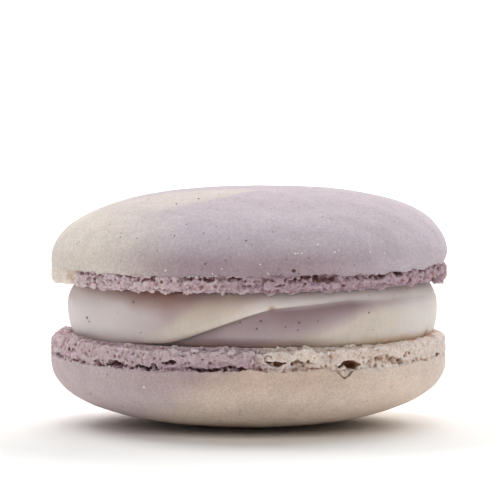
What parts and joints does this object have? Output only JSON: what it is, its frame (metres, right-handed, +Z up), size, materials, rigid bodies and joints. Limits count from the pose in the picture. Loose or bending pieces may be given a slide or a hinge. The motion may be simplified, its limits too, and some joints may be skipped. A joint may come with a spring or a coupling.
{
  "type": "french macaron",
  "caption": "Round sandwich biscuit: two domed meringue shells with ragged feet around a piped, folded buttercream filling.",
  "frame": {"origin": "middle of the flat resting spot on the lower shell's crown", "axes": "+Z up through both shells, +X to the right and -Y to the front, where the fold of the filling starts"},
  "size_m": [0.045, 0.045, 0.027],
  "materials": {
    "lower_shell": "matte baked almond meringue, marbled lavender and cream",
    "filling": "smooth satin buttercream, marbled lavender and cream",
    "upper_shell": "matte baked almond meringue, marbled lavender and cream"
  },
  "bodies": {
    "root": {"shell_lower": "lower_shell", "filling": "filling", "shell_upper": "upper_shell"}
  },
  "joints": []
}
